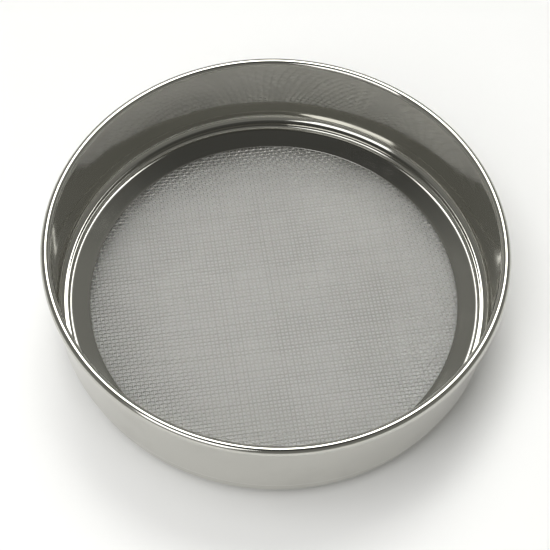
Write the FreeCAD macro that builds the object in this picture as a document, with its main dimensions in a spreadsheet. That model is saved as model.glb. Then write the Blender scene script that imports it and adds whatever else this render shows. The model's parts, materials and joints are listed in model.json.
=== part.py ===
import FreeCAD, Part
import math
import os

import Sketcher

# A round laboratory test sieve for soil, in its own frame: +Z up, the origin
# at the centre of the foot that it stands on. Millimetres.
#
# Three formed rings of stainless sheet hold a disc of woven wire cloth. The
# upper frame is a deep ring with a curled rim. Its lower edge rounds inwards
# over the skirt and is crimped down round the skirt's top fold. The skirt
# carries the cloth on a seat, and its outside fits into the mouth of the next
# sieve. A conical retaining ring, trapped under the crimp, holds the cloth on
# the seat. Every section below is given as radius and height.

DRIVING_SIZES = (
    ("mouth_radius", 100.0, "inside of the wall, for a nominal 200 mm sieve"),
    ("overall_height", 56.0, "foot to the top of the rim"),
    ("sheet_thickness", 0.7, "all three formed rings"),
    ("rim_radius", 2.2, "outside of the curled rim's tube"),
    ("seam_height", 12.6, "top fold of the skirt, under the frame's flange"),
    ("shoulder_bend", 4.2, "outside radius where the wall rounds inwards"),
    ("flange_flat", 0.3, "level stretch between the shoulder and the crimp"),
    ("crimp_bend", 1.5, "outside radius of the crimp"),
    ("crimp_drop", 0.2, "straight end of the crimp"),
    ("nest_clearance", 1.0, "radial play of a skirt in the mouth below it"),
    ("skirt_bend", 1.2, "outside radius at the top of the skirt"),
    ("pilot_length", 3.0, "straight stretch that centres the skirt in a mouth"),
    ("skirt_taper", 3.4, "how far the skirt narrows from pilot to foot"),
    ("foot_bend", 1.4, "outside radius where the skirt turns in to its foot"),
    ("foot_width", 1.8, "level part of the foot"),
    ("cloth_drop", 5.6, "seam down to the seat under the cloth"),
    ("seat_bend", 0.5, "inside radius between the riser and the seat"),
    ("ring_width", 9.2, "retaining ring from its lip to its outer edge"),
    ("lip_width", 0.8, "flat of the retaining ring on the cloth"),
    ("lip_setback", 0.5, "seat's edge outside the retaining ring's lip"),
    ("ring_clearance", 0.1, "retaining ring to the skirt's riser"),
    ("cloth_clearance", 0.1, "edge of the cloth to the bend of the seat"),
    ("wire_diameter", 0.63, "wire of the cloth"),
    ("aperture", 1.18, "clear width between wires"),
    ("weave_angle", 11.0, "degrees from the Y axis to the warp"),
)

CURL_PAST_BOTTOM = math.radians(30)

doc = FreeCAD.newDocument("test_sieve")
sheet = doc.addObject("Spreadsheet::Sheet", "Sizes")
for row, (alias, number, meaning) in enumerate(DRIVING_SIZES, start=1):
    sheet.set(f"A{row}", alias)
    sheet.set(f"B{row}", str(number))
    sheet.set(f"C{row}", meaning)
    sheet.setAlias(f"B{row}", alias)
doc.recompute()


class Size:
    """A length that knows its number and the sheet formula that gives it."""

    def __init__(self, number, formula):
        self.number = number
        self.formula = formula

    @staticmethod
    def of(value):
        return value if isinstance(value, Size) else Size(float(value), f"{float(value):.9f}")

    def __add__(self, other):
        other = Size.of(other)
        return Size(self.number + other.number, f"({self.formula} + {other.formula})")

    def __sub__(self, other):
        other = Size.of(other)
        return Size(self.number - other.number, f"({self.formula} - {other.formula})")

    def __mul__(self, factor):
        return Size(self.number * factor, f"({self.formula} * {factor:.9f})")


def from_sheet(alias):
    return Size(float(sheet.get(alias)), f"Sizes.{alias}")


def line_to(radius, height):
    """A corner of a section, reached along a straight line."""
    return {"point": (Size.of(radius), Size.of(height)), "bend": None}


def arc_to(radius, height, centre, bend):
    """A corner of a section, reached along an arc round centre."""
    return {"point": (Size.of(radius), Size.of(height)), "bend": bend, "centre": centre}


def at(point):
    return FreeCAD.Vector(point[0].number, point[1].number, 0)


def middle_of_arc(start, end, centre, bend):
    """The point of the arc half way from start to end, for less than half a turn."""
    towards = (start + end) * 0.5 - centre
    return centre + towards.normalize() * bend


def add_outline(sketch, corners):
    """Draw the closed outline and tie every corner and bend to the sheet."""
    edges = []
    for index, corner in enumerate(corners):
        start, end = at(corners[index - 1]["point"]), at(corner["point"])
        if corner["bend"] is None:
            edge = Part.LineSegment(start, end)
        else:
            middle = middle_of_arc(start, end, at(corner["centre"]), corner["bend"].number)
            edge = Part.Arc(start, middle, end)
        edges.append(sketch.addGeometry(edge, False))

    def end_number(edge, corner):
        """Which end of an edge, 1 or 2, lies at a corner."""
        spot = at(corner["point"])
        nearer_start = (sketch.getPoint(edge, 1) - spot).Length < (sketch.getPoint(edge, 2) - spot).Length
        return 1 if nearer_start else 2

    for index, corner in enumerate(corners):
        arriving, leaving = edges[index], edges[(index + 1) % len(edges)]
        arriving_end, leaving_end = end_number(arriving, corner), end_number(leaving, corner)
        radius, height = corner["point"]
        sketch.addConstraint(Sketcher.Constraint("Coincident", arriving, arriving_end, leaving, leaving_end))
        across = sketch.addConstraint(Sketcher.Constraint("DistanceX", arriving, arriving_end, radius.number))
        sketch.setExpression(f"Constraints[{across}]", radius.formula)
        up = sketch.addConstraint(Sketcher.Constraint("DistanceY", arriving, arriving_end, height.number))
        sketch.setExpression(f"Constraints[{up}]", height.formula)
        if corner["bend"] is not None:
            bend = sketch.addConstraint(Sketcher.Constraint("Radius", arriving, corner["bend"].number))
            sketch.setExpression(f"Constraints[{bend}]", corner["bend"].formula)


def turned_ring(label, corners):
    """A body made by turning a closed section once round the Z axis."""
    body = doc.addObject("PartDesign::Body", label)
    body.Label = label
    sketch = body.newObject("Sketcher::SketchObject", f"{label}_section")
    upright = [plane for plane in body.Origin.OriginFeatures if plane.Role == "XZ_Plane"][0]
    sketch.AttachmentSupport = [(upright, "")]
    sketch.MapMode = "FlatFace"
    add_outline(sketch, corners)
    turning = body.newObject("PartDesign::Revolution", f"{label}_turning")
    turning.Profile = sketch
    turning.ReferenceAxis = (sketch, ["V_Axis"])
    turning.Angle = 360
    sketch.Visibility = False
    body.Tip = turning
    return body


# Sizes that follow from the driving ones. Radii end in _radius or _face and
# heights in _height; a centre is a pair of both.
sheet_thickness = from_sheet("sheet_thickness")
mouth_radius = from_sheet("mouth_radius")
wall_outer_radius = mouth_radius + sheet_thickness
seam_height = from_sheet("seam_height")
flange_top_height = seam_height + sheet_thickness

rim_radius = from_sheet("rim_radius")
rim_inner_radius = rim_radius - sheet_thickness
rim_centre = (mouth_radius + rim_radius, from_sheet("overall_height") - rim_radius)

shoulder_bend = from_sheet("shoulder_bend")
shoulder_centre = (wall_outer_radius - shoulder_bend, seam_height + shoulder_bend)

crimp_bend = from_sheet("crimp_bend")
crimp_centre = (shoulder_centre[0] - from_sheet("flange_flat"), flange_top_height - crimp_bend)
crimp_face = crimp_centre[0] - crimp_bend
crimp_end_height = crimp_centre[1] - from_sheet("crimp_drop")
riser_face = crimp_face + sheet_thickness

skirt_radius = mouth_radius - from_sheet("nest_clearance")
skirt_bend = from_sheet("skirt_bend")
skirt_centre = (skirt_radius - skirt_bend, seam_height - skirt_bend)
pilot_bottom_height = skirt_centre[1] - from_sheet("pilot_length")
foot_bend = from_sheet("foot_bend")
foot_radius = skirt_radius - from_sheet("skirt_taper")
foot_centre = (foot_radius - foot_bend, foot_bend)
foot_inner_radius = foot_centre[0] - from_sheet("foot_width")
ground = Size(0.0, "0")

seat_bend = from_sheet("seat_bend")
seat_height = seam_height - from_sheet("cloth_drop")
seat_centre = (riser_face - seat_bend, seat_height + seat_bend)
ring_outer_radius = riser_face - from_sheet("ring_clearance")
sieving_radius = ring_outer_radius - from_sheet("ring_width")
seat_inner_radius = sieving_radius + from_sheet("lip_setback")

wire_diameter = from_sheet("wire_diameter")
cloth_top_height = seat_height + wire_diameter * 2
cloth_radius = seat_centre[0] - from_sheet("cloth_clearance")


def rim_point(tube_radius, along_radius, along_height):
    """A point of the curled rim, so many tube radii from its centre."""
    return (rim_centre[0] + tube_radius * along_radius, rim_centre[1] + tube_radius * along_height)


def upper_frame():
    """The deep ring: curled rim, wall, rounded shoulder, flange and crimp."""
    curl_end = (-math.sin(CURL_PAST_BOTTOM), -math.cos(CURL_PAST_BOTTOM))
    inside_of_curl = [(0, 1), (1, 0), (0, -1), curl_end]
    outside_of_curl = [(0, -1), (1, 0), (0, 1), (-1, 0)]
    corners = [
        line_to(crimp_face, crimp_end_height),
        line_to(riser_face, crimp_end_height),
        line_to(riser_face, crimp_centre[1]),
        arc_to(crimp_centre[0], seam_height, crimp_centre, crimp_bend - sheet_thickness),
        line_to(shoulder_centre[0], seam_height),
        arc_to(wall_outer_radius, shoulder_centre[1], shoulder_centre, shoulder_bend),
        line_to(wall_outer_radius, rim_centre[1]),
    ]
    for direction in inside_of_curl:
        corners.append(arc_to(*rim_point(rim_inner_radius, *direction), rim_centre, rim_inner_radius))
    corners.append(line_to(*rim_point(rim_radius, *curl_end)))
    for direction in outside_of_curl:
        corners.append(arc_to(*rim_point(rim_radius, *direction), rim_centre, rim_radius))
    corners += [
        line_to(mouth_radius, shoulder_centre[1]),
        arc_to(shoulder_centre[0], flange_top_height, shoulder_centre, shoulder_bend - sheet_thickness),
        line_to(crimp_centre[0], flange_top_height),
        arc_to(crimp_face, crimp_centre[1], crimp_centre, crimp_bend),
    ]
    return turned_ring("upper_frame", corners)


def skirt():
    """The lower ring: foot, taper, pilot, top fold, riser and cloth seat."""
    return turned_ring("skirt", [
        line_to(foot_inner_radius, ground),
        line_to(foot_centre[0], ground),
        arc_to(foot_radius, foot_centre[1], foot_centre, foot_bend),
        line_to(skirt_radius, pilot_bottom_height),
        line_to(skirt_radius, skirt_centre[1]),
        arc_to(skirt_centre[0], seam_height, skirt_centre, skirt_bend),
        line_to(crimp_centre[0], seam_height),
        arc_to(riser_face, crimp_centre[1], crimp_centre, crimp_bend - sheet_thickness),
        line_to(riser_face, seat_centre[1]),
        arc_to(seat_centre[0], seat_height, seat_centre, seat_bend),
        line_to(seat_inner_radius, seat_height),
        line_to(seat_inner_radius, seat_height - sheet_thickness),
        line_to(seat_centre[0], seat_height - sheet_thickness),
        arc_to(riser_face + sheet_thickness, seat_centre[1], seat_centre, seat_bend + sheet_thickness),
        line_to(riser_face + sheet_thickness, seam_height - sheet_thickness),
        line_to(skirt_centre[0], seam_height - sheet_thickness),
        arc_to(skirt_radius - sheet_thickness, skirt_centre[1], skirt_centre, skirt_bend - sheet_thickness),
        line_to(skirt_radius - sheet_thickness, pilot_bottom_height),
        line_to(foot_radius - sheet_thickness, foot_centre[1]),
        arc_to(foot_centre[0], sheet_thickness, foot_centre, foot_bend - sheet_thickness),
        line_to(foot_inner_radius, sheet_thickness),
    ])


def retaining_ring():
    """The conical ring, from its lip on the cloth up to the crimp."""
    return turned_ring("retaining_ring", [
        line_to(sieving_radius, cloth_top_height),
        line_to(sieving_radius + from_sheet("lip_width"), cloth_top_height),
        line_to(ring_outer_radius, crimp_end_height - sheet_thickness),
        line_to(ring_outer_radius, crimp_end_height),
        line_to(sieving_radius, cloth_top_height + sheet_thickness),
    ])


def layer_of_wires(label, height, turn):
    """One direction of the cloth: parallel wires, each cut to its chord."""
    wire_radius = wire_diameter.number / 2
    pitch = wire_diameter.number + from_sheet("aperture").number
    steps_out = int((cloth_radius.number - wire_radius) / pitch)
    wires = []
    for step in range(-steps_out, steps_out + 1):
        offset = step * pitch
        half_chord = math.sqrt(cloth_radius.number ** 2 - (abs(offset) + wire_radius) ** 2)
        if half_chord > pitch:
            start = FreeCAD.Vector(offset, -half_chord, 0)
            wires.append(Part.makeCylinder(wire_radius, 2 * half_chord, start, FreeCAD.Vector(0, 1, 0)))
    layer = doc.addObject("Part::Feature", label)
    layer.Label = label
    layer.Shape = Part.makeCompound(wires)
    about_z = FreeCAD.Rotation(FreeCAD.Vector(0, 0, 1), turn)
    layer.Placement = FreeCAD.Placement(FreeCAD.Vector(0, 0, height), about_z)
    print(label, "wires:", len(wires), "pitch:", round(pitch, 3))
    return layer


weave_angle = from_sheet("weave_angle").number
lower_layer_height = (seat_height + wire_diameter * 0.5).number
upper_layer_height = (seat_height + wire_diameter * 1.5).number

sub_parts = [
    upper_frame(),
    skirt(),
    retaining_ring(),
    layer_of_wires("warp_wires", lower_layer_height, weave_angle),
    layer_of_wires("weft_wires", upper_layer_height, weave_angle + 90),
]
doc.recompute()

for thing in doc.Objects:
    if "Invalid" in thing.State or "Error" in thing.State:
        raise RuntimeError(f"{thing.Name} failed: {thing.State}")
for sub_part in sub_parts:
    if sub_part.Shape.isNull() or not sub_part.Shape.isValid():
        raise RuntimeError(f"{sub_part.Label} has no valid shape")

os.makedirs("parts", exist_ok=True)
for sub_part in sub_parts:
    sub_part.Shape.exportStep(f"parts/{sub_part.Label}.step")
    print(f"{sub_part.Label}: {len(sub_part.Shape.Solids)} solids, {sub_part.Shape.Volume / 1000:.3f} cm3")
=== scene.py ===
# %% [markdown]
# # A soil test sieve
#
# The sieve is three rings of polished stainless sheet round a disc of woven
# wire cloth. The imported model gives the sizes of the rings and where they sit.
# This script gives each piece the surface that shows: the smooth bends of
# formed sheet, a real plain weave, and steel that mirrors what stands round it.

# %% Load the frame
import json
import bpy
import numpy as np
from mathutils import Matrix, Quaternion, Vector


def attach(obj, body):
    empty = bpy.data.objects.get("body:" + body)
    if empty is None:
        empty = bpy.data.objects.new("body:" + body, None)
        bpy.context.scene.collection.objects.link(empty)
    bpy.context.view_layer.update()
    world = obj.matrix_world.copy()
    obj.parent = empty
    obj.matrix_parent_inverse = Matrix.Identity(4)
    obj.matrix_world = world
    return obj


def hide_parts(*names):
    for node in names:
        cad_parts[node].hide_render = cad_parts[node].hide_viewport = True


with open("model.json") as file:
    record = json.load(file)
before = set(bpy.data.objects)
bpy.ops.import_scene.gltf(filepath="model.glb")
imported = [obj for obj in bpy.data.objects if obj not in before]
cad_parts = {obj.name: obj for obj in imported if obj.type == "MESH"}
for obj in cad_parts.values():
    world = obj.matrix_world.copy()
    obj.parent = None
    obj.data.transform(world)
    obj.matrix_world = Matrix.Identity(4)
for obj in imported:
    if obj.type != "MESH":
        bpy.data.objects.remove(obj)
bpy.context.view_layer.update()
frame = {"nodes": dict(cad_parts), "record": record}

MM = 0.001
scene = bpy.context.scene
print("nodes:", sorted(frame["nodes"]))

# %% [markdown]
# ## Sizes from the frame
#
# Every ring is turned about the Z axis, so its radii and heights say all that
# matters. They could be typed in again, but then the rings would stop fitting
# when the model changes. Here they are measured on the model's own vertices,
# and only the sheet's thickness and its bends are named.

# %% Measure the rings


def ring_points(node):
    """Radius and height of every vertex of a ring: radius is the distance from the Z axis."""
    mesh = frame["nodes"][node].data
    flat = np.empty(len(mesh.vertices) * 3)
    mesh.vertices.foreach_get("co", flat)
    places = flat.reshape(-1, 3)
    return np.hypot(places[:, 0], places[:, 1]), places[:, 2]


mounts = {mount["name"]: mount for mount in frame["record"]["mounts"]}
frame_radii, frame_heights = ring_points("upper_frame")
skirt_radii, skirt_heights = ring_points("skirt")
ring_radii = ring_points("retaining_ring")[0]
warp_radii, warp_heights = ring_points("warp_wires")
weft_heights = ring_points("weft_wires")[1]

SHEET = 0.7 * MM
mouth_radius = mounts["mouth"]["dims"]["r_mm"] * MM
rim_radius = (frame_radii.max() - mouth_radius) / 2
top_height = frame_heights.max()
crimp_end_height = frame_heights.min()
crimp_face = frame_radii.min()
seam_height = skirt_heights.max()
skirt_radius = skirt_radii.max()
seat_inner_radius = skirt_radii.min()
seat_height = warp_heights.min()
foot_inner_radius = skirt_radii[skirt_heights < 0.1 * MM].min()
pilot = mounts["skirt_pilot"]
pilot_bottom_height = pilot["pos_m"][2] - pilot["dims"]["length_mm"] * MM / 2
sieving_radius = ring_radii.min()
ring_outer_radius = ring_radii.max()
cloth_top_height = weft_heights.max()
cloth_radius = warp_radii.max()
wire_diameter = (cloth_top_height - seat_height) / 2
print("mouth", mouth_radius, "rim tube", round(rim_radius, 5), "height", round(top_height, 5))
print("cloth radius", round(cloth_radius, 5), "wire", round(wire_diameter, 5))

# %% [markdown]
# ## From arrays to meshes
#
# Blender can lathe a profile with a Screw modifier or a Spin, but a surface
# worked out as arrays keeps its parameters at hand. The length along the
# section goes into the mesh as an attribute, and the steel's turning marks
# follow it. All faces go in with one call per array.

# %% Mesh helper


def make_piece(name, places, face_groups, attributes=()):
    """A mesh object from points (N, 3) and groups of faces, each group (F, corners)."""
    corners = np.concatenate([group.ravel() for group in face_groups]).astype(np.int32)
    counts = np.concatenate([np.full(len(group), group.shape[1]) for group in face_groups])
    starts = np.concatenate([[0], np.cumsum(counts)[:-1]]).astype(np.int32)
    mesh = bpy.data.meshes.new(name)
    mesh.vertices.add(len(places))
    mesh.vertices.foreach_set("co", places.astype(np.float32).ravel())
    mesh.loops.add(len(corners))
    mesh.loops.foreach_set("vertex_index", corners)
    mesh.polygons.add(len(counts))
    mesh.polygons.foreach_set("loop_start", starts)
    mesh.update(calc_edges=True)
    mesh.validate()
    mesh.shade_smooth()
    for label, values in attributes:
        attribute = mesh.attributes.new(label, "FLOAT", "POINT")
        attribute.data.foreach_set("value", values.astype(np.float32))
    piece = bpy.data.objects.new(name, mesh)
    scene.collection.objects.link(piece)
    triangles = int((counts - 2).sum())
    print(f"{name}: {len(places)} points, {triangles} triangles")
    return piece


# %% [markdown]
# ## The section of a formed sheet
#
# A press bends flat sheet round tools, so a section is a chain of straight
# stretches joined by tangent arcs. Writing it as corners, each with its bend
# radius, is how a sheet-metal drawing gives it. The second face is the first
# one moved by the sheet's thickness, and the cut edges are rounded over.

# %% Bent path and sheet section
ROW_SPACING = 1.6 * MM
ARC_STEP = np.radians(9)
EDGE_STEPS = 6
SAME_PLACE = 0.0001 * MM


def bent_path(corners):
    """Points along straight runs joined by tangent arcs.

    Each corner is (radius, height, bend). The arc starts and ends at
    bend * tan(turn / 2) from the corner, and its centre lies one bend radius
    to the side that the path turns to.
    """
    corners = np.array(corners, float)
    points = [corners[0, :2]]
    for before, corner, after in zip(corners[:-2], corners[1:-1], corners[2:]):
        arrive = (corner[:2] - before[:2]) / np.linalg.norm(corner[:2] - before[:2])
        leave = (after[:2] - corner[:2]) / np.linalg.norm(after[:2] - corner[:2])
        turn = np.arctan2(arrive[0] * leave[1] - arrive[1] * leave[0], arrive @ leave)
        start = corner[:2] - arrive * corner[2] * np.tan(abs(turn) / 2)
        side = np.array([-arrive[1], arrive[0]]) * np.sign(turn)
        centre = start + side * corner[2]
        angles = np.linspace(0, turn, max(3, int(np.ceil(abs(turn) / ARC_STEP)) + 1))[:, None]
        square = np.array([centre[1] - start[1], start[0] - centre[0]])
        spoke = (start - centre) * np.cos(angles) + square * np.sin(angles)
        points += straight_rows(points[-1], start) + list(centre + spoke)
    points += straight_rows(points[-1], corners[-1, :2]) + [corners[-1, :2]]
    return np.array(points)


def straight_rows(start, end):
    """Evenly spaced points between two places, without either end."""
    rows = int(np.linalg.norm(end - start) // ROW_SPACING)
    shares = np.arange(1, rows + 1)[:, None] / (rows + 1)
    return list(start + (end - start) * shares)


def arc_points(centre, radius, first, last):
    """Points round a centre: (centre + radius * cos, centre + radius * sin), angles in degrees."""
    steps = int(np.ceil(abs(last - first) / np.degrees(ARC_STEP)))
    angles = np.radians(np.linspace(first, last, steps + 1))
    return np.stack([centre[0] + radius * np.cos(angles), centre[1] + radius * np.sin(angles)], axis=1)


def sheet_section(face, thickness):
    """A closed outline: one face, a round cut edge, the other face back, a round cut edge.

    The other face is each point moved by the thickness along the normal, to
    the left of the path, or to its right where the thickness is negative.
    """
    keep = np.concatenate([[True], np.linalg.norm(np.diff(face, axis=0), axis=1) > SAME_PLACE])
    face = face[keep]
    tangent = np.gradient(face, axis=0)
    tangent /= np.linalg.norm(tangent, axis=1, keepdims=True)
    normal = np.stack([-tangent[:, 1], tangent[:, 0]], axis=1)
    other = face + normal * thickness
    angles = np.linspace(0, np.pi, EDGE_STEPS + 1)[1:-1, None]
    half = normal * thickness / 2
    bulge = tangent * abs(thickness) / 2
    far_edge = (face + half)[-1] - half[-1] * np.cos(angles) + bulge[-1] * np.sin(angles)
    near_edge = (face + half)[0] + half[0] * np.cos(angles) - bulge[0] * np.sin(angles)
    outline = np.concatenate([face, far_edge, other[::-1], near_edge])
    cut = np.repeat([0.0, 1.0, 0.0, 1.0], [len(face), len(far_edge), len(face), len(near_edge)])
    return outline, cut


# %% Turn a section into a ring
TURN_STEPS = 448


def turned_ring(name, outline, cut, waviness=None):
    """A surface of two parameters, angle a and place s on the outline.

    Each point is (r(s) * cos a, r(s) * sin a, z(s)), where waviness(a, z), if
    given, is added to r. Hand polishing and rolling leave sheet a little wavy.
    """
    angle = np.linspace(0, 2 * np.pi, TURN_STEPS, endpoint=False)[:, None]
    radius, height = outline[:, 0][None, :], outline[:, 1][None, :]
    if waviness is not None:
        radius = radius + waviness(angle, height)
    grid = (TURN_STEPS, len(outline))
    heights = np.broadcast_to(height, grid)
    places = np.stack([radius * np.cos(angle), radius * np.sin(angle), heights], axis=2)
    index = np.arange(heights.size).reshape(grid)
    across = np.roll(index, -1, axis=0)
    quads = np.stack([index, across, np.roll(across, -1, axis=1), np.roll(index, -1, axis=1)], axis=2)
    quads = quads.reshape(-1, 4)
    after = np.roll(outline, -1, axis=0)
    if np.sum(outline[:, 0] * after[:, 1] - after[:, 0] * outline[:, 1]) < 0:
        quads = quads[:, ::-1]
    steps = np.linalg.norm(np.diff(outline, axis=0, prepend=outline[:1]), axis=1)
    attributes = [("along", np.tile(np.cumsum(steps), TURN_STEPS)), ("cut_edge", np.tile(cut, TURN_STEPS))]
    return make_piece(name, places.reshape(-1, 3), [quads], attributes)


# %% [markdown]
# ## The upper frame
#
# The deep ring is pressed from one blank. Its rim is curled outwards until
# the raw edge is hidden, which makes it stiff and safe to hold. The lower edge
# rounds inwards over the skirt and is crimped down round the skirt's fold. The
# face towards the bowl is drawn first, from the crimp up and round the curl.

# %% Upper frame
SHOULDER_BEND = 4.2 * MM
CRIMP_BEND = 1.5 * MM
CURL_END = -120
WAVE_HEIGHT = 0.05 * MM
# Each wave: its share of the height, how often it goes round, how it leans up the wall, its shift.
WALL_WAVES = ((1.0, 3, 5, 0), (0.6, 7, -4, 1), (0.3, 16, 9, 2))
flange_top_height = seam_height + SHEET
rim_centre = (mouth_radius + rim_radius, top_height - rim_radius)


def wall_waviness(angle, height):
    """A few shallow waves round and up the wall, none at its shoulder or its rim."""
    wall_foot_height = flange_top_height + SHOULDER_BEND
    share = np.clip((height - wall_foot_height) / (rim_centre[1] - wall_foot_height), 0, 1)
    waves = 0.0
    for size, times_round, lean, shift in WALL_WAVES:
        waves = waves + size * np.sin(times_round * angle + lean * share + shift)
    return WAVE_HEIGHT * waves * np.sin(np.pi * share)


bowl_face = bent_path([
    (crimp_face, crimp_end_height, 0),
    (crimp_face, flange_top_height, CRIMP_BEND),
    (mouth_radius, flange_top_height, SHOULDER_BEND - SHEET),
    (mouth_radius, rim_centre[1], 0),
])
curl = arc_points(rim_centre, rim_radius, 180, CURL_END)
outline, cut = sheet_section(np.concatenate([bowl_face, curl]), -SHEET)
upper_frame = turned_ring("upper_frame_shell", outline, cut, wall_waviness)

# %% [markdown]
# ## The skirt
#
# The lower ring stands on a turned-in foot, widens to a short straight pilot
# that centres it in the next sieve's mouth, and folds over at the seam. From
# there it drops as a riser and turns inwards again as the seat of the cloth.

# %% Skirt
FOOT_BEND = 1.4 * MM
FOOT_FLAT = 1.8 * MM
SKIRT_BEND = 1.2 * MM
SEAT_BEND = 0.5 * MM
TAPER_BEND = 6 * MM
foot_radius = foot_inner_radius + FOOT_FLAT + FOOT_BEND
taper = (skirt_radius - foot_radius) / (pilot_bottom_height - FOOT_BEND)
riser_face = crimp_face + SHEET
skirt_face = bent_path([
    (foot_inner_radius, 0, 0),
    (foot_radius - taper * FOOT_BEND, 0, FOOT_BEND),
    (skirt_radius, pilot_bottom_height, TAPER_BEND),
    (skirt_radius, seam_height, SKIRT_BEND),
    (riser_face, seam_height, CRIMP_BEND - SHEET),
    (riser_face, seat_height, SEAT_BEND),
    (seat_inner_radius, seat_height, 0),
])
outline, cut = sheet_section(skirt_face, SHEET)
skirt = turned_ring("skirt_shell", outline, cut)

# %% [markdown]
# ## The retaining ring
#
# A shallow cone of the same sheet presses on the cloth with its inner edge and
# rises to the crimp, which traps it. Seen from above it is the dark polished
# strip between the wall and the cloth.

# %% Retaining ring
TUCK = 0.25 * MM
ring_face = bent_path([
    (sieving_radius, cloth_top_height + SHEET, 0),
    (ring_outer_radius - TUCK, crimp_end_height, 0),
])
outline, cut = sheet_section(ring_face, -SHEET)
retaining_ring = turned_ring("retaining_ring_shell", outline, cut)

# %% [markdown]
# ## The wire cloth
#
# In a plain weave every wire passes over one crossing wire and under the next,
# and warp and weft do it in opposite steps. A texture of a grid would do from
# far away, but the open holes, the shine along each wire and the shadow below
# come only from real wires. All the wires of one direction are one array: wire
# number, place along the wire, and place round it. Each layer is cut in two
# halves to keep the pieces light.

# %% Woven wires
APERTURE = 1.18 * MM
WEAVE_ANGLE = np.radians(11)
SAG = 0.35 * MM
SIDES = 6
STEPS_PER_PITCH = 3
END_GAP = 0.15 * MM
RIPPLE_SHARE = 0.25
RIPPLE_WIDTH = 19 * MM
RIPPLE_LENGTH = 23 * MM
pitch = APERTURE + wire_diameter
cloth_height = seat_height + wire_diameter
wire_radius = wire_diameter / 2


def sag(across, along):
    """Height of the stretched cloth's middle surface: a shallow bowl, flat from the lip outwards."""
    share = np.clip(1 - (across ** 2 + along ** 2) / sieving_radius ** 2, 0, 1)
    ripple = RIPPLE_SHARE * np.sin(across / RIPPLE_WIDTH + 1) * np.sin(along / RIPPLE_LENGTH)
    return -SAG * share ** 1.5 * (1 + ripple)


def woven_layer(name, first_wire, last_wire, over, turn, tone_shift):
    """Wires number first to last, parallel to the local Y axis, then turned about Z.

    The middle of wire i is (i * pitch, y, over * wire radius * cos(pi * (y / pitch + i)))
    on the sagging surface. Round it, a point is the middle plus the wire's
    radius times (cos p * X + sin p * N), where N is square to X and to the wire.
    """
    wire = np.arange(first_wire, last_wire + 1)[:, None]
    steps = int(np.ceil(cloth_radius / pitch)) * STEPS_PER_PITCH
    station = np.arange(-steps, steps + 1)[None, :] * pitch / STEPS_PER_PITCH
    half_chord = np.sqrt(cloth_radius ** 2 - (np.abs(wire) * pitch + wire_radius) ** 2) - END_GAP
    y = np.clip(station, -half_chord, half_chord)
    x = np.broadcast_to(wire * pitch, y.shape)
    phase = np.pi * (y / pitch + wire)
    z = cloth_height + over * wire_radius * np.cos(phase) + sag(x, y)
    slope = -over * wire_radius * np.pi / pitch * np.sin(phase)
    lean = np.hypot(1, slope)
    round_angle = 2 * np.pi * (np.arange(SIDES) + 0.5) / SIDES
    skin = wire_radius * np.sqrt(2 * np.pi / (SIDES * np.sin(2 * np.pi / SIDES)))
    cosine, sine = skin * np.cos(round_angle), skin * np.sin(round_angle)
    places = np.stack([
        x[..., None] + cosine,
        y[..., None] - (slope / lean)[..., None] * sine,
        z[..., None] + (1 / lean)[..., None] * sine,
    ], axis=3)

    index = np.arange(y.size * SIDES).reshape(*y.shape, SIDES)
    here, there = index[:, :-1], index[:, 1:]
    quads = np.stack([here, there, np.roll(there, -1, axis=2), np.roll(here, -1, axis=2)], axis=3)
    real = np.diff(y, axis=1) > END_GAP / 10
    quads = quads[real].reshape(-1, 4)
    first, last = real.argmax(axis=1), real.shape[1] - real[:, ::-1].argmax(axis=1)
    rows = np.arange(len(wire))
    caps = np.concatenate([index[rows, first], index[rows, last][:, ::-1]])

    used, quads_and_caps = np.unique(np.concatenate([quads.ravel(), caps.ravel()]), return_inverse=True)
    quads, caps = quads_and_caps[:quads.size].reshape(-1, 4), quads_and_caps[quads.size:].reshape(-1, SIDES)
    tone = np.broadcast_to((np.sin((wire + tone_shift) * 12.9898) * 43758.5453 % 1)[..., None], index.shape)
    flat = places.reshape(-1, 3)[used]
    cosine_turn, sine_turn = np.cos(turn), np.sin(turn)
    turned = np.stack([flat[:, 0] * cosine_turn - flat[:, 1] * sine_turn,
                       flat[:, 0] * sine_turn + flat[:, 1] * cosine_turn, flat[:, 2]], axis=1)
    return make_piece(name, turned, [quads, caps], [("tone", tone.reshape(-1)[used])])


wires_out = int((cloth_radius - wire_radius) / pitch)
warp_left = woven_layer("warp_wires_left", -wires_out, -1, 1, WEAVE_ANGLE, 0.0)
warp_right = woven_layer("warp_wires_right", 0, wires_out, 1, WEAVE_ANGLE, 0.0)
weft_near = woven_layer("weft_wires_near", -wires_out, -1, -1, WEAVE_ANGLE + np.pi / 2, 200.0)
weft_far = woven_layer("weft_wires_far", 0, wires_out, -1, WEAVE_ANGLE + np.pi / 2, 200.0)

# %% [markdown]
# ## Shader maths as Python
#
# Node trees get long, and a small class keeps them readable. It wraps one
# socket, and each operator adds the Math node that does the sum.

# %% Socket class


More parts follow.
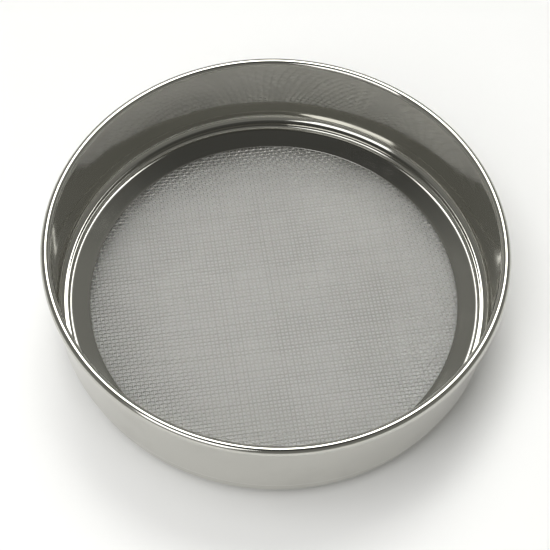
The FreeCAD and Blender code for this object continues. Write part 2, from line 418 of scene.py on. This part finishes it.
class Sock:
    """An output socket of a material's tree, with the arithmetic that the finishes use."""

    def __init__(self, tree, socket=None):
        self.tree = tree
        self.socket = socket

    def output(self, name):
        """Another output of the node that this socket belongs to."""
        return Sock(self.tree, self.socket.node.outputs[name])

    def node(self, kind, settings, inputs, output=0):
        """Any node: its settings are set first, then its sockets get values or links."""
        made = self.tree.nodes.new(kind)
        for key, value in settings.items():
            setattr(made, key, value)
        for key, value in inputs.items():
            if isinstance(value, Sock):
                self.tree.links.new(value.socket, made.inputs[key])
            else:
                made.inputs[key].default_value = value
        return Sock(self.tree, made.outputs[output])

    def sum_node(self, operation, first, second):
        return self.node("ShaderNodeMath", {"operation": operation}, {0: first, 1: second})

    def blend(self, first, second):
        """The first colour where this is 0, the second where it is 1."""
        return self.node("ShaderNodeMix", {"data_type": "RGBA"}, {0: self, 6: first, 7: second}, 2)

    def __add__(self, other):
        return self.sum_node("ADD", self, other)

    __radd__ = __add__

    def __sub__(self, other):
        return self.sum_node("SUBTRACT", self, other)

    def __rsub__(self, other):
        return self.sum_node("SUBTRACT", other, self)

    def __mul__(self, other):
        return self.sum_node("MULTIPLY", self, other)

    __rmul__ = __mul__

    def __truediv__(self, other):
        return self.sum_node("DIVIDE", self, other)

    def noise(self, place, size, detail):
        """Soft random patches, so large, with so many finer layers: 0 to 1, mostly near 0.5."""
        return self.node("ShaderNodeTexNoise", {},
                         {"Vector": place, "Scale": 1 / size, "Detail": detail, "Roughness": 0.6}, "Fac")

    def between(self, low, high):
        """0 below low, 1 above high, and a smooth step from one to the other."""
        return self.node("ShaderNodeMapRange", {"interpolation_type": "SMOOTHSTEP"},
                         {"Value": self, "From Min": low, "From Max": high})


def new_material(name):
    """An empty node material, its Principled shader and a Sock to start from."""
    material = bpy.data.materials.new(name)
    material.use_nodes = True
    tree = material.node_tree
    shader = tree.nodes["Principled BSDF"]
    return material, shader, Sock(tree)


def feed(tree, shader, **sockets):
    """Link socks, and set plain values, on the shader's sockets; _ in a name is a space."""
    for name, value in sockets.items():
        socket = shader.inputs[name.replace("_", " ")]
        if isinstance(value, Sock):
            tree.links.new(value.socket, socket)
        else:
            socket.default_value = value


# %% [markdown]
# ## Polished stainless steel
#
# Polished steel has hardly a colour of its own. It shows its surroundings, a
# little dim and warm, and what gives it away is what is wrong with the mirror:
# fine marks that run round the ring where a wheel turned on it, a haze of
# handling, faint waviness, and duller cut edges. The marks come from a noise
# whose pattern is very fine along the section and long round the ring.

# %% Polished steel
MARK_WIDTH = 0.35 * MM
MARK_LENGTH = 28 * MM
HAZE_SIZE = 26 * MM
DIMPLE_SIZE = 11 * MM
BRIGHT_STEEL = (0.565, 0.558, 0.52, 1)
HAZY_STEEL = (0.515, 0.508, 0.472, 1)
CUT_STEEL = (0.45, 0.44, 0.42, 1)
HAZE_RANGE = (0.48, 0.72)
HAZE_SHARE = 0.7
POLISH = 0.075
HAZE_ROUGHNESS = 0.07
MARK_ROUGHNESS = 0.05
CUT_ROUGHNESS = 0.25
DIMPLE_DEPTH = 0.02 * MM
MARK_DEPTH = 0.0012 * MM

polished_steel, shader, start = new_material("polished_steel")
tree = polished_steel.node_tree
place = start.node("ShaderNodeTexCoord", {}, {}, "Object")
parts = start.node("ShaderNodeSeparateXYZ", {}, {"Vector": place})
along = start.node("ShaderNodeAttribute", {"attribute_name": "along"}, {}, "Fac")
cut_edge = start.node("ShaderNodeAttribute", {"attribute_name": "cut_edge"}, {}, "Fac")

mark_place = start.node("ShaderNodeCombineXYZ", {}, {
    "X": parts.output("X") / MARK_LENGTH, "Y": parts.output("Y") / MARK_LENGTH, "Z": along / MARK_WIDTH})
marks = start.noise(mark_place, 1.0, 3.0)
haze = start.noise(place, HAZE_SIZE, 4.0)
dimples = start.noise(place, DIMPLE_SIZE, 1.0)

hazy = haze.between(*HAZE_RANGE)
roughness = POLISH + hazy * HAZE_ROUGHNESS + (marks - 0.5) * MARK_ROUGHNESS + cut_edge * CUT_ROUGHNESS
colour = (hazy * HAZE_SHARE).blend(BRIGHT_STEEL, HAZY_STEEL)
wavy = start.node("ShaderNodeBump", {}, {"Height": dimples, "Strength": 1.0, "Distance": DIMPLE_DEPTH})
marked = start.node("ShaderNodeBump", {}, {
    "Height": marks, "Strength": 1.0, "Distance": MARK_DEPTH, "Normal": wavy})
steel_colour = cut_edge.blend(colour, CUT_STEEL)
feed(tree, shader, Base_Color=steel_colour, Metallic=1.0, Roughness=roughness, Normal=marked)
print("polished_steel:", len(tree.nodes), "nodes")

# %% [markdown]
# ## Drawn wire
#
# Wire is drawn bright but not polished, so its shine is softer. No two wires
# are quite alike: each has a tone of its own, carried in the mesh as an
# attribute, and the cloth is a little dull where soil has been brushed
# through it.

# %% Wire finish
PATCH_SIZE = 31 * MM
GREY_WIRE = (0.76, 0.755, 0.73, 1)
BRIGHT_WIRE = (0.84, 0.835, 0.815, 1)
DULL_WIRE = (0.66, 0.655, 0.63, 1)
PATCH_RANGE = (0.4, 0.75)
DULL_SHARE = 0.5
WIRE_ROUGHNESS = 0.3
DULL_ROUGHNESS = 0.12
TONE_ROUGHNESS = 0.05
wire_steel, shader, start = new_material("drawn_wire")
tree = wire_steel.node_tree
place = start.node("ShaderNodeTexCoord", {}, {}, "Object")
tone = start.node("ShaderNodeAttribute", {"attribute_name": "tone"}, {}, "Fac")
dull = start.noise(place, PATCH_SIZE, 4.0).between(*PATCH_RANGE)
colour = (dull * DULL_SHARE).blend(tone.blend(GREY_WIRE, BRIGHT_WIRE), DULL_WIRE)
roughness = WIRE_ROUGHNESS + dull * DULL_ROUGHNESS + tone * TONE_ROUGHNESS
feed(tree, shader, Base_Color=colour, Metallic=1.0, Roughness=roughness)
print("drawn_wire:", len(tree.nodes), "nodes")

# %% [markdown]
# ## Which piece stands for which
#
# Each surface takes a finish and rides on the sieve's one body, and the node
# of the model that it replaces is hidden.

# %% Finishes and nodes
for piece, node, material, slot in (
    (upper_frame, "upper_frame", polished_steel, "polished_steel"),
    (skirt, "skirt", polished_steel, "polished_steel"),
    (retaining_ring, "retaining_ring", polished_steel, "polished_steel"),
    (warp_left, "warp_wires", wire_steel, "wire_cloth"),
    (warp_right, "warp_wires", wire_steel, "wire_cloth"),
    (weft_near, "weft_wires", wire_steel, "wire_cloth"),
    (weft_far, "weft_wires", wire_steel, "wire_cloth"),
):
    piece.data.materials.append(material)
    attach(piece, "root")
    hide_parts(node)

# %% [markdown]
# ## Floor, light and surroundings
#
# Polished steel looks like what is round it, so the surroundings are part of
# the finish. A pale floor shows in the outside of the wall. One wide soft
# light stands high behind the sieve, where the cloth and the crest of the rim
# mirror it. The rest of the room is dim, so the bends and the sloping ring
# stay dark beside those bright lines.

# %% Floor
FLOOR_HALF = 4.0
FLOOR_GAP = 0.02 * MM
floor_corners = np.array([(-1, -1, 0), (1, -1, 0), (1, 1, 0), (-1, 1, 0)])
floor_places = floor_corners * FLOOR_HALF - np.array([0, 0, FLOOR_GAP])
floor = make_piece("floor", floor_places, [np.array([[0, 1, 2, 3]])])
floor_paint, shader, start = new_material("floor_paint")
grain = start.noise(start.node("ShaderNodeTexCoord", {}, {}, "Object"), 0.3, 2.0)
feed(floor_paint.node_tree, shader, Base_Color=(0.9, 0.9, 0.895, 1), Roughness=0.55 + grain * 0.1)
floor.data.materials.append(floor_paint)

# %% Surroundings
HORIZON = (0.62, 0.62, 0.59, 1)
ROOM = (0.22, 0.22, 0.205, 1)
CEILING = (0.07, 0.07, 0.065, 1)
SOFT_LIGHT = (6.5, 6.5, 6.35, 1)
world = bpy.data.worlds.new("surroundings")
world.use_nodes = True
scene.world = world
tree = world.node_tree
start = Sock(tree)
direction = start.node("ShaderNodeTexCoord", {}, {}, "Generated")
parts = start.node("ShaderNodeSeparateXYZ", {}, {"Vector": direction})
sideways, away, up = (parts.output(axis) for axis in "XYZ")
in_width = sideways.between(-0.3, -0.12) * (1 - sideways.between(0.12, 0.3))
in_depth = away.between(0.24, 0.34) * (1 - away.between(0.62, 0.74)) * up.between(0.1, 0.3)
room = up.between(0.8, 0.97).blend(up.between(0.05, 0.4).blend(HORIZON, ROOM), CEILING)
lit_room = (in_width * in_depth).blend(room, SOFT_LIGHT)
tree.links.new(lit_room.socket, tree.nodes["Background"].inputs["Color"])

# %% Lamps
LAMP_AIM = Vector((0, 0, 0.03))


def lamp(name, place, size, watts, in_mirrors):
    """A square area lamp that looks at the sieve, seen in polished steel only if in_mirrors."""
    data = bpy.data.lights.new(name, "AREA")
    data.size = size
    data.energy = watts
    made = bpy.data.objects.new(name, data)
    made.location = place
    made.rotation_mode = "QUATERNION"
    made.rotation_quaternion = (LAMP_AIM - Vector(place)).to_track_quat("-Z", "Y")
    made.visible_glossy = in_mirrors
    scene.collection.objects.link(made)
    print(name, place, watts, "W")


lamp("floor_lamp", (-0.6, -0.3, 2.6), 1.6, 36, False)
lamp("front_lamp", (-1.0, -1.5, 2.0), 1.5, 16, True)

# %% [markdown]
# ## Camera
#
# The camera looks down on the sieve from in front. It stands close enough for
# the near side of the rim to look larger than the far side, which gives the
# sieve its weight, and a longer lens then frames it.

# %% Camera
ELEVATION = np.radians(58.2)
DISTANCE = 0.72
ROLL = np.radians(2.5)
LENS = 104.0
AIM_FORWARD = 5 * MM
target = Vector((0, -AIM_FORWARD, (seam_height + top_height) / 2))
back = Vector((0, -np.cos(ELEVATION), np.sin(ELEVATION)))
camera_data = bpy.data.cameras.new("camera")
camera_data.lens = LENS
camera_data.clip_start = 10 * MM
camera = bpy.data.objects.new("camera", camera_data)
camera.location = target + back * DISTANCE
camera.rotation_mode = "QUATERNION"
camera.rotation_quaternion = (-back).to_track_quat("-Z", "Y") @ Quaternion((0, 0, 1), ROLL)
scene.collection.objects.link(camera)
scene.camera = camera
scene.view_settings.view_transform = "Standard"
print("camera at", tuple(round(value, 3) for value in camera.location))
